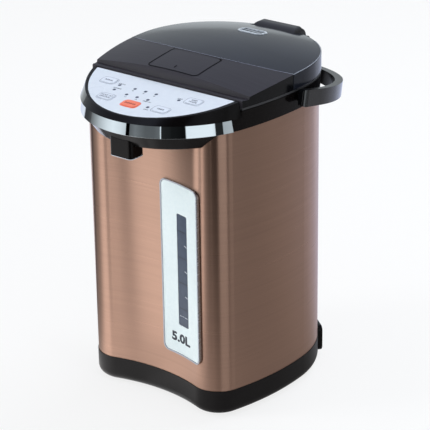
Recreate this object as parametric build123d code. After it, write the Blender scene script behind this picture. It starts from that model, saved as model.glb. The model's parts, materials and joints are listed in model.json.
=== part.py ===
from build123d import *
import os
from math import atan2, cos, degrees, radians, sin, sqrt

# Electric thermo pot: a sheet-steel body with a concave front, a head that overhangs the cup,
# a steel water vessel with an electric pump under it, a hinged lid and a folding bail handle.
# Millimetres. +Z is up and the front is -Y. The body is drawn about the centre of its outline, and save
# moves every piece so that the origin lies on the standing plane, under the middle of the whole.

# ---------------------------------------------------------------- driving sizes
# Body outline seen from above: tangent arcs, from the back to the concave front
back_centre_y = 4.9
back_radius = 101.8
side_radius = 276.3
side_back_angle = 4.7          # degrees where the back arc meets the side arc
side_front_angle = 16.8        # degrees where the side arc meets the front corner
corner_radius = 28.8
front_radius = 180.5           # the concave front, centred before the pot

# Head outline seen from above, the same for collar and lid
head_proud = 2.2               # lid and collar rim stand this far outside the body's back
head_side_radius = 353.5
head_side_back_angle = 2.28
head_side_front_angle = 11.55
nose_side_radius = 107.0
nose_tip_angle = 53.25         # degrees where the nose's side arc meets its tip arc

# Levels
foot_height = 2.5
base_top = 30.0
shell_top = 308.0
chrome_top = 320.5
lid_bottom = 327.8
lid_top = 355.5

# Walls and clearances
steel_thickness = 0.8
wall = 2.6
joint_gap = 0.3                # between bodies that move past each other
seam_gap = 0.1                 # between neighbours that are fixed together
running_gap = 0.05             # radial, shaft in hole
base_proud = 0.6
base_edge_radius = 9.0
base_flange = 9.0
chrome_thickness = 1.2
chrome_lean = 2.2              # the band leans inward by this from bottom to top
chrome_end_y = -90.2
collar_lean = 1.2              # the collar is this much smaller at its bottom
parting_gap = 0.3

# Vessel
vessel_y = 10.0
vessel_radius = 84.0
vessel_wall = 1.0
vessel_floor = 66.0
vessel_corner_radius = 12.0
deck_top = 315.0
deck_thickness = 3.0
flange_radius = 90.0
mouth_radius = 86.0

# Lid
lid_front_y = -79.8
brow_radius = 900.0            # the brow is bowed about a far axis that leans back
brow_tilt = 17.4
ridge_droop_radius = 3000.0
crown_y = 20.0                 # the lid's highest line
crown_radius_x = 612.0
crown_radius_y = 398.0         # behind the highest line
crown_front_radius = 500.0     # before it
chord_y = -27.0                # front of the dome on the middle line
chord_radius = 300.0
lid_plate_thickness = 2.2
lever_half_width = 31.0
lever_front_y = -70.2
lever_length = 41.6
lever_thickness = 2.4
lever_pin_radius = 1.5
hinge_y = 106.0
hinge_z = 338.0
hinge_pin_radius = 2.45
hinge_block_half = 27.0
hinge_block_radius = 12.3
hinge_block_round = 5.0
hinge_ear_width = 9.0
hinge_ear_radius = 6.0
vent_y = 61.4
vent_size = (32.0, 17.0)
vent_slots = 5
vent_proud = 0.9

# Control head
panel_back_y = -80.9
panel_back_z = 336.0
panel_tilt = 9.1
panel_inset = 8.0
rim_inset = 2.5
rim_setback = 3.5              # the rim's outline also lies this much further back
panel_thickness = 1.2
bezel_skin = 2.0
board_depth = 7.0              # top of the control board below the panel's face
board_thickness = 1.6
board_inset = 13.0             # the board's edge inside the head's outline
board_back = 6.1               # its straight edge lies this far before the panel's back edge
key_size = (17.0, 10.0)
start_key_size = (19.0, 11.0)
key_travel = 0.8
reboil_key_place = (-56.0, 18.6)      # x, and how far before the panel's back edge
keep_warm_key_place = (52.0, 18.9)
unlock_key_place = (-35.8, 30.792)    # x, and how far behind the nose
timer_key_place = (33.0, 31.792)
start_key_place = (-2.6, 28.592)
lamp_columns = (-19.4, -5.8, 7.8)
lamp_rows = (55.792, 42.792)          # behind the nose
single_lamps = ((-39.3, 55.792), (-38.0, 45.992), (36.4, 55.492), (17.7, 30.592))
side_screw_back = 7.071               # the side board screws lie this far before the panel's back edge
side_screw_inset = 27.884             # and this far inside the head's side
front_screw_x = 22.0
front_screw_back = 17.0               # the front ones lie this far behind the nose

# Spout
spout_y = -137.5
spout_cover_size = (28.0, 20.0)
spout_bottom = 279.4
under_bottom = 292.0

# Water gauge on the concave front
gauge_angle = 11.7             # degrees from the middle line, seen from the front arc's centre
gauge_width = 57.8
gauge_bottom = 57.0
gauge_top = 246.0
gauge_frame_width = 0.8        # laps over the steel
gauge_lip = 0.6                # goes through the steel
gauge_frame_proud = 1.3
slot_width = 15.8
slot_shift = 1.9               # the slot lies right of the plate's middle
slot_bottom = 91.0
slot_top = 213.5
riser_depth = 10.5             # centre of the gauge tube behind the steel
tube_radius = 4.0
tube_bore = 3.0
hose_wall = 1.5
spout_hose_level = 310.0       # centre of the hose that crosses to the spout
spout_hose_end = 297.0         # both its ends reach down to here
nozzle_top = 301.0

# Handle
handle_y = -0.5
handle_z = 322.1
handle_slope = 10.8            # the folded bail points this far below the horizontal
handle_reach = 137.9
handle_clearance = 7.9         # between the strap and the head
handle_strap = 5.6
handle_grip = 10.5
handle_root_height = 17.0
handle_grip_height = 14.5
handle_end = 7.6               # the strap starts this far before its pivot
handle_end_round = 6.0
pivot_radius = 5.0
pivot_depth = 9.0              # how deep the journal goes into the bail's end

# Pump and electrics
pump_drop = 13.0               # the pump's outlet lies this far from its axis
pump_y = -42.0
volute_radius = 22.0
volute_floor = 30.0
volute_height = 16.0
shaft_radius = 2.0
inlet_angle = 52.0
inlet_width = 44.0
inlet_top = 34.0
inlet_proud = 4.0

os.makedirs("parts", exist_ok=True)


# ---------------------------------------------------------------- outlines
def polar(centre, radius, angle):
    return (centre[0] + radius * cos(radians(angle)), centre[1] + radius * sin(radians(angle)))


def arc(centre, radius, start, end):
    return ThreePointArc(*(polar(centre, radius, a) for a in (start, (start + end) / 2, end)))


def closed(half):
    right = Curve() + half
    return make_face(right + mirror(right, about=Plane.YZ))


back_centre = (0, back_centre_y)
side_centre = polar(back_centre, back_radius - side_radius, side_back_angle)
corner_centre = polar(side_centre, side_radius - corner_radius, -side_front_angle)
front_centre = (0, corner_centre[1] - sqrt((front_radius + corner_radius) ** 2 - corner_centre[0] ** 2))
front_turn = degrees(atan2(front_centre[1] - corner_centre[1], -corner_centre[0]))

head_back_radius = back_radius + head_proud
handle_outer_radius = head_back_radius + handle_clearance + handle_strap
head_side_centre = polar(back_centre, head_back_radius - head_side_radius, head_side_back_angle)
nose_centre = polar(head_side_centre, head_side_radius - nose_side_radius, -head_side_front_angle)
nose_shift = nose_centre[0] / cos(radians(nose_tip_angle))
tip_radius = nose_side_radius + nose_shift
tip_centre = (0, nose_centre[1] + nose_shift * sin(radians(nose_tip_angle)))
nose_y = tip_centre[1] - tip_radius


def from_back(place):
    return (place[0], panel_back_y - place[1])


def from_nose(place):
    return (place[0], nose_y + place[1])


key_spots = {"reboil_key": from_back(reboil_key_place), "unlock_key": from_nose(unlock_key_place),
             "timer_key": from_nose(timer_key_place), "keep_warm_key": from_back(keep_warm_key_place)}
start_key_spot = from_nose(start_key_place)


def body_outline(grow):
    return closed([
        arc(back_centre, back_radius + grow, 90, side_back_angle),
        arc(side_centre, side_radius + grow, side_back_angle, -side_front_angle),
        arc(corner_centre, corner_radius + grow, -side_front_angle, front_turn),
        arc(front_centre, front_radius - grow, front_turn + 180, 90),
    ])


def head_outline(grow):
    return closed([
        arc(back_centre, head_back_radius + grow, 90, head_side_back_angle),
        arc(head_side_centre, head_side_radius + grow, head_side_back_angle, -head_side_front_angle),
        arc(nose_centre, nose_side_radius + grow, -head_side_front_angle, -nose_tip_angle),
        arc(tip_centre, tip_radius + grow, -nose_tip_angle, -90),
    ])


def nose_outline(grow, setback=0.0):
    return (Pos(0, setback) * head_outline(grow)) & Pos(0, panel_back_y - 100) * Rectangle(300, 200)


# ---------------------------------------------------------------- solid helpers
def prism(face, low, high):
    return extrude(Pos(0, 0, low) * face, high - low)


def leaning(outline, low_grow, low, high_grow, high):
    return loft([Pos(0, 0, low) * outline(low_grow), Pos(0, 0, high) * outline(high_grow)], ruled=True)


def block(x, y, z):
    return Pos((x[0] + x[1]) / 2, (y[0] + y[1]) / 2, (z[0] + z[1]) / 2) * Box(
        x[1] - x[0], y[1] - y[0], z[1] - z[0])


def post(x, y, radius, low, high):
    return Pos(x, y, (low + high) / 2) * Cylinder(radius, high - low)


def tube(x, y, outer, inner, low, high):
    return post(x, y, outer, low, high) - post(x, y, inner, low - 1, high + 1)


def rod_x(y, z, radius, left, right):
    return Pos((left + right) / 2, y, z) * Rot(0, 90, 0) * Cylinder(radius, right - left)


def side_profile(points, left, right):
    outline = Polyline(*[(0, y, z) for y, z in points], close=True)
    return extrude(make_face(outline), right - left, dir=(1, 0, 0)).moved(Pos(left, 0, 0))


def hose(points, bend, outer, inner):
    path = FilletPolyline(*points, radius=bend)
    ring = Plane(path @ 0, z_dir=path % 0) * (Circle(outer) - Circle(inner))
    return sweep(ring, path)


def turned(points, x, y):
    profile = make_face(Polyline(*[(r, 0, z) for r, z in points], close=True))
    return Pos(x, y, 0) * revolve(profile, Axis.Z)


def save(name, shape):
    moved = Pos(0, -middle_y, 0) * shape
    moved.label = name
    export_step(moved, "parts/" + name + ".step")


def group(shapes):
    return Compound(list(shapes))


# ---------------------------------------------------------------- base
def foot_spots():
    return [(58, -58), (-58, -58), (50, 60), (-50, 60)]


def base_screw_spots():
    inset = base_edge_radius + base_flange / 2
    front = polar(corner_centre, corner_radius - inset, -60)
    back = polar(back_centre, back_radius - inset, 78)
    return [(sign * spot[0], spot[1]) for spot in (front, back) for sign in (1, -1)]


inlet_frame = Plane(
    origin=(*polar(back_centre, back_radius, inlet_angle), (foot_height + inlet_top) / 2 + 1),
    x_dir=(-sin(radians(inlet_angle)), cos(radians(inlet_angle)), 0),
    z_dir=(cos(radians(inlet_angle)), sin(radians(inlet_angle)), 0))
inlet_height = inlet_top - foot_height - 2


def inlet_block(grow, inner, outer):
    face = RectangleRounded(inlet_width + 2 * grow, inlet_height + 2 * grow, 6 + grow)
    return extrude(inlet_frame.offset(inner) * face, outer - inner)


def base_shell():
    outer = prism(body_outline(base_proud), foot_height, base_top)
    outer = fillet(outer.edges().group_by(Axis.Z)[0], base_edge_radius)
    inner_grow = -base_edge_radius - 1
    hollow = leaning(body_outline, inner_grow, foot_height + 2.5, -wall, foot_height + 14)
    hollow += prism(body_outline(-wall), foot_height + 14, base_top + 1)
    opening = prism(body_outline(-base_edge_radius - base_flange), 0, base_top)
    lip = prism(body_outline(-steel_thickness - joint_gap), base_top - 4, base_top + 6)
    lip -= prism(body_outline(-wall - 1), base_top - 5, base_top + 7)
    shell = outer - hollow - opening + lip
    for x, y in base_screw_spots():
        shell -= post(x, y, 1.8, 0, 10) + post(x, y, 3.4, 0, foot_height + 1.5)
    return shell - inlet_block(seam_gap, -16, 12)


def bottom_cover():
    low = prism(body_outline(-base_edge_radius - base_flange - 0.3), foot_height, foot_height + 2.5)
    flange = prism(body_outline(-base_edge_radius - 2.5), foot_height + 2.5, foot_height + 4)
    cover = low + flange
    for x, y in foot_spots():
        cover -= post(x, y, 4, 0, foot_height + 1.5)
    for x, y in base_screw_spots():
        cover -= post(x, y, 1.4, 0, 10)
    for row in range(7):
        cover -= Pos(-18 + 6 * row, 20, 5) * Box(2.6, 34, 12)
    for x, y in pump_ears() + board_posts():
        cover += post(x, y, 4, foot_height + 3, volute_floor if (x, y) in pump_ears() else board_level)
    return cover - inlet_block(joint_gap, -16, 12)


def rubber_feet():
    return group(post(x, y, 9, 0, foot_height) + post(x, y, 3.9, foot_height - 0.5, foot_height + 1.4)
                 for x, y in foot_spots())


def base_screws():
    return group(post(x, y, 3.2, foot_height + 0.2, foot_height + 1.5)
                 + post(x, y, 1.3, foot_height + 1, foot_height + 4)
                 for x, y in base_screw_spots())


# ---------------------------------------------------------------- body
def outer_shell():
    shell = prism(body_outline(0), base_top, shell_top)
    shell -= prism(body_outline(-steel_thickness), base_top - 1, shell_top + 1)
    shell -= block((riser[0] - 19, riser[0] + 4), (riser[1] - 26, riser[1] - 1), (shell_top - 5, shell_top + 1))
    return shell - gauge_cut(-gauge_frame_width) - inlet_block(seam_gap, -16, 12)


gauge_turn = radians(gauge_angle)
gauge_frame_plane = Plane(
    origin=(front_radius * sin(gauge_turn), front_centre[1] + front_radius * cos(gauge_turn),
            (gauge_bottom + gauge_top) / 2),
    x_dir=(cos(gauge_turn), -sin(gauge_turn), 0), z_dir=(-sin(gauge_turn), -cos(gauge_turn), 0))


def gauge_cut(grow, depth=12):
    face = RectangleRounded(gauge_width + 2 * grow, gauge_top - gauge_bottom + 2 * grow, 7 + grow / 2)
    return extrude(gauge_frame_plane.offset(-depth) * face, 2 * depth)


def slot_cut(grow):
    face = RectangleRounded(slot_width + 2 * grow, slot_top - slot_bottom + 2 * grow, 2 + grow)
    middle = (slot_bottom + slot_top) / 2 - (gauge_bottom + gauge_top) / 2
    return extrude(gauge_frame_plane.offset(-12) * Pos(slot_shift, middle) * face, 24)


def front_sector(nearer, farther):
    """The curved slab between two radii about the front arc's centre."""
    slab = Circle(farther) - Circle(nearer)
    return prism(Pos(*front_centre) * slab, gauge_bottom - 5, gauge_top + 5)


def gauge_frame():
    proud = front_sector(front_radius - gauge_frame_proud, front_radius - seam_gap) & gauge_cut(0)
    lip = front_sector(front_radius - 1, front_radius + 2.4) & gauge_cut(-gauge_frame_width - seam_gap)
    return proud + lip - gauge_cut(-gauge_frame_width - seam_gap - gauge_lip)


def gauge_plate():
    plate = front_sector(front_radius - 1.2, front_radius + 1.2)
    return (plate & gauge_cut(-gauge_frame_width - gauge_lip - 2 * seam_gap)) - slot_cut(0)


def gauge_lens():
    front = front_sector(front_radius - 0.9, front_radius + 1.2) & slot_cut(-seam_gap)
    back = front_sector(front_radius + 1.3, front_radius + 2.3) & slot_cut(2.5)
    return front + back + (front_sector(front_radius + 1, front_radius + 1.5) & slot_cut(-1))


slot_angle = gauge_angle + degrees(slot_shift / front_radius)
riser = polar(front_centre, front_radius + riser_depth, 90 - slot_angle)


def gauge_tube():
    return tube(*riser, tube_radius, tube_bore, 62, 302)


def gauge_backing():
    """Channel behind the gauge that carries the lens and clips round the tube."""
    channel = front_sector(front_radius + 2.5, front_radius + riser_depth + 6)
    channel &= slot_cut(4)
    channel -= front_sector(front_radius + 2.4, front_radius + riser_depth + 4.5) & slot_cut(2.2)
    for level in (slot_bottom + 15, slot_top - 15):
        clip = tube(*riser, tube_radius + 2.6, tube_radius + 0.1, level - 3, level + 3)
        channel += clip - front_sector(front_radius, front_radius + riser_depth - 3)
    return channel - post(*riser, tube_radius + 0.1, 40, 305)


# ---------------------------------------------------------------- water side
def inner_vessel():
    outer = vessel_radius + vessel_wall
    rim = deck_top + vessel_wall
    low = vessel_floor - vessel_wall
    corner = vessel_corner_radius
    cup = post(0, vessel_y, outer, low, rim)
    cup = fillet(cup.edges().group_by(Axis.Z)[0], corner + vessel_wall)
    hollow = post(0, vessel_y, vessel_radius, vessel_floor, rim + 20)
    hollow = fillet(hollow.edges().group_by(Axis.Z)[0], corner)
    flange = post(0, vessel_y, flange_radius, deck_top, rim)
    outlet = post(pump_x, pump_y, 6, low - 4, low)
    return cup + flange + outlet - hollow - post(pump_x, pump_y, 5, low - 5, low + 5)


def vessel_seal():
    low = deck_top + vessel_wall
    return turned([(vessel_radius + 2, low), (flange_radius, low), (flange_radius, low + 1.2),
                   (vessel_radius + 3.5, low + 1.2), (vessel_radius + 2, low + 0.6)], 0, vessel_y)


heater_screw_levels = (94, 114)
heater_screw_y = vessel_y + vessel_radius + vessel_wall + 5.1


def band_heater():
    outer = vessel_radius + vessel_wall
    band = tube(0, vessel_y, outer + 2.6, outer + seam_gap, 84, 124)
    gap = block((-6, 6), (vessel_y + 60, vessel_y + 110), (80, 130))
    ears = block((-9, -6), (vessel_y + outer + 0.6, vessel_y + outer + 8.4), (88, 120))
    ears += block((6, 9), (vessel_y + outer + 0.6, vessel_y + outer + 8.4), (88, 120))
    band = band - gap + ears
    for z in heater_screw_levels:
        band -= rod_x(heater_screw_y, z, 1.6, -20, 20)
    return band


def heater_screws():
    y = heater_screw_y
    return group(rod_x(y, z, 1.5, -9, 9) + rod_x(y, z, 2.8, 9, 11.5) + rod_x(y, z, 2.8, -11.5, -9)
                 for z in heater_screw_levels)


def base_heater():
    low = vessel_floor - vessel_wall
    ring = Pos(0, vessel_y, low - 3.6) * Torus(41, 3.5)
    plate = tube(0, vessel_y, 47, 28, low - 1.6, low)
    tails = [Pos(x, vessel_y + 40, low - 9) * Cylinder(3, 11) for x in (-9, 9)]
    return ring + plate + tails[0] + tails[1]


def thermostat():
    low = vessel_floor - vessel_wall
    body = post(0, vessel_y, 8, low - 7, low) + post(0, vessel_y, 12, low - 1.2, low)
    return body + block((-10, 10), (vessel_y - 1, vessel_y + 1), (low - 9, low - 7))


pump_x = riser[0] - pump_drop
outlet_level = volute_floor + volute_height / 2


def pump_ears():
    return [(pump_x + 27, pump_y + 2), (pump_x - 27, pump_y + 2)]


def pump_housing():
    top = volute_floor + volute_height
    body = post(pump_x, pump_y, volute_radius, volute_floor, top)
    ear = block((pump_x - 31, pump_x + 31), (pump_y - 3, pump_y + 7), (volute_floor, volute_floor + 3))
    nipple = post(pump_x, pump_y, 5, top, top + 9)
    outlet_run = pump_y - riser[1] - 18
    outlet = Pos(riser[0], pump_y - outlet_run / 2, outlet_level) * Rot(90, 0, 0) * Cylinder(
        tube_radius, outlet_run)
    outlet_bore = Pos(riser[0], pump_y - outlet_run / 2 - 1, outlet_level) * Rot(90, 0, 0) * Cylinder(
        tube_bore, outlet_run)
    chamber = post(pump_x, pump_y, volute_radius - 2.5, volute_floor + 2.5, top - 2.5)
    hollow = chamber + post(pump_x, pump_y, 3.6, top - 3, top + 10) + outlet_bore
    shaft_hole = post(pump_x, pump_y, shaft_radius + running_gap, volute_floor - 1, volute_floor + 3)
    holes = post(*pump_ears()[0], 1.6, volute_floor - 1, top) + post(*pump_ears()[1], 1.6, volute_floor - 1, top)
    return body + ear + nipple + outlet - hollow - shaft_hole - holes


def pump_impeller():
    low, high = volute_floor + 3.3, volute_floor + 4.8
    wheel = post(pump_x, pump_y, volute_radius - 5, low, high) + post(pump_x, pump_y, 5, low, high + 6)
    blade = block((4, volute_radius - 5.5), (-0.8, 0.8), (low, high + 5))
    for turn in range(6):
        wheel += Pos(pump_x, pump_y, 0) * Rot(0, 0, 60 * turn) * blade
    return wheel + post(pump_x, pump_y, shaft_radius, foot_height + 8, high)


def pump_motor():
    can = post(pump_x, pump_y, 17, foot_height + 7, volute_floor)
    can = fillet(can.edges().group_by(Axis.Z)[0], 2)
    bore = post(pump_x, pump_y, shaft_radius + running_gap, foot_height + 7.8, volute_floor + 1)
    return can - bore


def inlet_hose():
    top = volute_floor + volute_height
    low, high = top + 2, vessel_floor - vessel_wall
    return tube(pump_x, pump_y, 8, 6.1, low + 8, high - 0.5) + tube(pump_x, pump_y, 8, 5.1, low, low + 8)


def outlet_hose():
    start = (riser[0], pump_y - (pump_y - riser[1] - 18) + 6, outlet_level)
    return hose([start, (*riser, outlet_level), (*riser, 68)], 9, tube_radius + 0.1 + hose_wall,
                tube_radius + 0.1)


def spout_hose():
    low, level = spout_hose_end, spout_hose_level
    return hose([(*riser, low), (*riser, level), (0, spout_y, level), (0, spout_y, low)], 8,
                tube_radius + 0.1 + hose_wall, tube_radius + 0.1)


def spout_nozzle():
    body = post(0, spout_y, 5, spout_bottom + 1.5, under_bottom + 3)
    body += post(0, spout_y, 6.2, under_bottom + 2.5, under_bottom + 4)
    body += post(0, spout_y, tube_radius, under_bottom + 4, nozzle_top)
    body -= post(0, spout_y, 3.5, spout_bottom - 9, under_bottom + 3)
    return body - post(0, spout_y, 2.4, spout_bottom, nozzle_top + 9)


# ---------------------------------------------------------------- head
def under_solid(grow=0.0):
    skirt = leaning(head_outline, -13 + grow, under_bottom - grow, -3 + grow, shell_top)
    return fillet(skirt.edges().group_by(Axis.Z)[0], 4 + grow)


def under_cover():
    inner = leaning(head_outline, -14.5, under_bottom + 2.5, -5.5, shell_top + 0.1)
    tray = under_solid() - inner - prism(body_outline(0.2), 0, 400)
    tray &= block((-120, 120), (nose_y - 5, -84), (0, 400))
    return tray - post(0, spout_y, 5.1, 0, 400)


def spout_cover():
    wide, deep = spout_cover_size
    middle = spout_y - 2.5
    outer = prism(Pos(0, middle) * RectangleRounded(wide, deep, 4), spout_bottom, under_bottom + 8)
    inner = prism(Pos(0, middle) * RectangleRounded(wide - 3.6, deep - 3.6, 2.2), 200, 400)
    return outer - inner - under_solid(0.05)


def head_collar():
    rim = lid_bottom - parting_gap
    outer = leaning(head_outline, -collar_lean, shell_top, 0, rim)
    above = prism(head_outline(-wall - 1), deck_top, rim + 5)
    below = prism(head_outline(-wall - collar_lean), shell_top - 1, deck_top - deck_thickness)
    above &= block((-130, 130), (panel_back_y, 130), (0, 400))
    collar = outer - above - below
    collar -= post(0, vessel_y, mouth_radius, 200, 400)
    nose = block((-130, 130), (nose_y - 5, panel_back_y), (shell_top - 1, rim + 5))
    step = block((-130, 130), (nose_y - 5, panel_back_y), (chrome_top, rim + 5))
    front_hollow = prism(head_outline(-wall - chrome_thickness - chrome_lean), shell_top - 1, rim + 5)
    bulkhead = block((-130, 130), (panel_back_y - 2.4, 0), (0, 400))
    collar -= (front_hollow & nose) - bulkhead
    collar -= step
    seat = leaning(head_outline, -chrome_thickness - seam_gap, shell_top,
                   -chrome_thickness - chrome_lean - seam_gap, chrome_top + 0.01)
    band_room = block((-130, 130), (nose_y - 5, chrome_end_y + 0.1), (shell_top - 1, chrome_top + 1))
    collar -= band_room - seat
    collar += block((-hinge_block_half, hinge_block_half), (101, 107), (deck_top - 1, rim))
    return collar


def chrome_band():
    band = leaning(head_outline, 0, shell_top, -chrome_lean, chrome_top)
    band -= leaning(head_outline, -chrome_thickness, shell_top - 0.01,
                    -chrome_thickness - chrome_lean, chrome_top + 0.01)
    return band & block((-130, 130), (nose_y - 5, chrome_end_y), (0, 400))


panel_plane = Plane(origin=(0, panel_back_y, panel_back_z), x_dir=(1, 0, 0),
                    z_dir=(0, -sin(radians(panel_tilt)), cos(radians(panel_tilt))))


def on_panel(shape, depth=0.0):
    return panel_plane.offset(-depth) * Pos(0, -panel_back_y) * shape


def through_panel(shape, above, below):
    return extrude(on_panel(shape, below), above + below)


def nose_solid(low_grow, low, high_grow, depth):
    rim = nose_outline(high_grow, rim_setback)
    return loft([Pos(0, 0, low) * nose_outline(low_grow), on_panel(rim, depth)], ruled=True)


def key_faces(grow):
    faces = [Pos(*spot) * RectangleRounded(key_size[0] + 2 * grow, key_size[1] + 2 * grow, 4 + grow)
             for spot in key_spots.values()]
    faces.append(Pos(*start_key_spot) * RectangleRounded(
        start_key_size[0] + 2 * grow, start_key_size[1] + 2 * grow, 4.4 + grow))
    return faces


def lamp_spots():
    rows = [(x, row) for row in lamp_rows for x in lamp_columns]
    return [from_nose(place) for place in rows + list(single_lamps)]


def head_bezel():
    skin = panel_thickness + bezel_skin
    shell = nose_solid(-joint_gap, chrome_top, -rim_inset, 0)
    shell -= nose_solid(-chrome_lean - wall, chrome_top - 0.01, -rim_inset - 4, skin)
    shell += block((-90, 90), (panel_back_y - 2.4, panel_back_y), (chrome_top, panel_back_z - 1.5))
    shell -= through_panel(nose_outline(-panel_inset + seam_gap), 10, panel_thickness)
    for face in key_faces(joint_gap):
        shell -= through_panel(face, 1, 12)
    for x, y in lamp_spots():
        shell -= through_panel(Pos(x, y) * Circle(1.3), 1, 12)
    for x, y in board_screw_spots():
        boss = through_panel(Pos(x, y) * Circle(3), 0, board_depth)
        shell += boss - through_panel(Pos(x, y) * Circle(10), 1, skin - 0.5)
        shell -= extrude(on_panel(Pos(x, y) * Circle(1.1), board_depth + 1), 4)
    keeper = block((-9, 9), (panel_back_y - 4, panel_back_y + 1), (bolt_low - joint_gap, bolt_high + joint_gap))
    return shell - keeper


def board_screw_spots():
    side_y = panel_back_y - side_screw_back
    head_half = nose_centre[0] + sqrt(nose_side_radius ** 2 - (side_y - nose_centre[1]) ** 2)
    side = (head_half - side_screw_inset, side_y)
    front = (front_screw_x, nose_y + front_screw_back)
    return [(sign * spot[0], spot[1]) for spot in (front, side) for sign in (1, -1)]


def control_panel():
    panel = through_panel(nose_outline(-panel_inset), 0, panel_thickness)
    panel = panel - through_panel(Pos(0, panel_back_y) * Rectangle(300, 0.8), 1, 5)
    for face in key_faces(joint_gap):
        panel -= through_panel(face, 1, 5)
    for x, y in lamp_spots():
        panel -= through_panel(Pos(x, y) * Circle(1.3), 1, 5)
    return panel


def key_cap(face, flange_face):
    skin = panel_thickness + bezel_skin
    cap = through_panel(face, 0.7, skin + 0.5)
    flange = extrude(on_panel(flange_face, skin + 1.3), 1.0)
    return cap + flange


def control_board():
    before_back = Pos(0, panel_back_y - board_back - 50) * Rectangle(200, 100)
    outline = nose_outline(-board_inset) & before_back
    board = extrude(on_panel(outline, board_depth + board_thickness), board_thickness)
    for x, y in board_screw_spots():
        board -= extrude(on_panel(Pos(x, y) * Circle(1.5), board_depth + 3), 5)
    return board


def tact_switches():
    spots = list(key_spots.values()) + [start_key_spot]
    return group(extrude(on_panel(Pos(*spot) * Rectangle(6, 6), board_depth), 1.0)
                 + extrude(on_panel(Pos(*spot) * Circle(1.7), board_depth - 0.9), 0.6)
                 for spot in spots)


def indicator_lamps():
    return group(extrude(on_panel(Pos(x, y) * Circle(1.2), board_depth), board_depth) for x, y in lamp_spots())


def board_screws():
    return group(extrude(on_panel(Pos(x, y) * Circle(2.6), board_depth + 3.1), 1.5)
                 + extrude(on_panel(Pos(x, y) * Circle(1.0), board_depth + 2), 4.5)
                 for x, y in board_screw_spots())


# ---------------------------------------------------------------- lid
def crown(sink=0.0):
    """Everything under the lid's doubly curved top, sunk by a wall thickness."""
    radius = crown_radius_x - sink
    top = lid_top - sink
    half = 140
    fall = radius - sqrt(radius ** 2 - half ** 2)
    profile = Pos(0, crown_y, 0) * make_face(Curve() + [
        ThreePointArc((-half, 0, top - fall), (0, 0, top), (half, 0, top - fall)),
        Polyline((half, 0, top - fall), (half, 0, 250), (-half, 0, 250), (-half, 0, top - fall))])
    back = revolve(profile, Axis((0, crown_y, lid_top - crown_radius_y), (-1, 0, 0)), 22)
    front = revolve(profile, Axis((0, crown_y, lid_top - crown_front_radius), (1, 0, 0)), 22)
    return back + front


def chord_cylinder(grow):
    return Pos(0, chord_y + chord_radius, 330) * Cylinder(chord_radius + grow, 120)


lid_plate_top = lid_bottom + lid_plate_thickness
notch_gap = 1.0
notch_front = hinge_y - hinge_block_radius - notch_gap
bolt_low, bolt_high = 330.4, 333.4


def hinge_notch():
    half = hinge_block_half + notch_gap
    return block((-half, half), (notch_front, 130), (250, 400))


def ear_solid():
    ears = []
    inner = hinge_block_half + notch_gap
    for left in (inner, -inner - hinge_ear_width):
        right = left + hinge_ear_width
        low = lid_plate_top - 0.1
        points = [(hinge_y - 18, low), (hinge_y - 1, low), (hinge_y, hinge_z - 1), (hinge_y - 4, hinge_z + 4.4),
                  (hinge_y - 18, low + 9)]
        ears.append(side_profile(points, left, right) + rod_x(hinge_y, hinge_z, hinge_ear_radius, left, right))
    return ears[0] + ears[1]


def lid_block(grow=0.0):
    body = prism(head_outline(grow), lid_plate_top + 0.05, lid_top + 5)
    body &= block((-130, 130), (lid_front_y, 130), (0, 400))
    return (body & crown()) - hinge_notch()


def lid_hollow():
    room = prism(head_outline(-wall), lid_plate_top - 1, lid_top + 5)
    room &= block((-130, 130), (lid_front_y + wall, 130), (0, 400))
    room &= crown(wall)
    room -= block((-130, 130), (-130, lever_front_y + 3), (ridge_z - 4.5, 400))
    half = hinge_block_half + notch_gap + 2
    return room - block((-half, half), (notch_front - 2, 130), (250, 400))


def lever_room(grow):
    face = Pos(0, lever_front_y + lever_length / 2) * RectangleRounded(
        2 * (lever_half_width + grow), lever_length + 2 * grow, 5 + grow)
    return prism(face, ridge_z - 3, 400)


ridge_y, ridge_z = -77.4, 338.9


def lid_brow():
    """What the lid loses before its falling brow, down to the floor of the groove."""
    top_y = lever_front_y - 1.1
    top = crown_height(0, top_y) + 0.1
    profile = make_face(Curve() + [
        ThreePointArc((0, top_y, top), (0, ridge_y + 3.4, ridge_z + 5.4), (0, ridge_y + 1.9, ridge_z + 1.9)),
        Polyline((0, ridge_y + 1.9, ridge_z + 1.9), (0, ridge_y + 1.2, ridge_z - 0.5), (0, -100, ridge_z - 0.5),
                 (0, -100, 380), (0, top_y, 380), (0, top_y, top))])
    lean = radians(brow_tilt)
    axis = Axis((0, ridge_y + brow_radius * cos(lean), ridge_z - brow_radius * sin(lean)), (0, sin(lean), cos(lean)))
    return revolve(profile, axis, 16).rotate(axis, -8)


def lid_ridge():
    """The low ridge along the lid's front wall, which droops a little towards its ends."""
    profile = make_face(Polyline(
        (0, ridge_y + 0.5, 330), (0, ridge_y, ridge_z), (0, ridge_y - 1.5, ridge_z - 0.3),
        (0, lid_front_y - 0.1, ridge_z - 1.7), (0, lid_front_y - 0.1, 330), close=True))
    axis = Axis((0, 0, ridge_z - ridge_droop_radius), (0, 1, 0))
    return revolve(profile, axis, 5).rotate(axis, -2.5)


def lid_front_cover():
    cover = lid_block(-0.5) - lid_hollow() - chord_cylinder(0.05) - (lid_brow() - lid_ridge())
    sweep_room = rod_x(lever_pin_y, lever_pin_z, lever_sweep, -lever_half_width - joint_gap,
                       lever_half_width + joint_gap)
    return cover - lever_room(joint_gap) - bolt_channel(joint_gap) - sweep_room


def lid_dome():
    dome = (lid_block() - lid_hollow()) & chord_cylinder(-0.1)
    low, high = hinge_block_half + notch_gap - joint_gap, hinge_block_half + notch_gap + hinge_ear_width + joint_gap
    for span in ((low, high), (-high, -low)):
        dome -= block(span, (hinge_y - 19, 130), (300, hinge_z + hinge_ear_radius + 0.4))
    vent = vent_plane() * RectangleRounded(vent_size[0] + 0.2, vent_size[1] + 0.2, 7)
    return dome - extrude(vent, 8, both=True)


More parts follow.
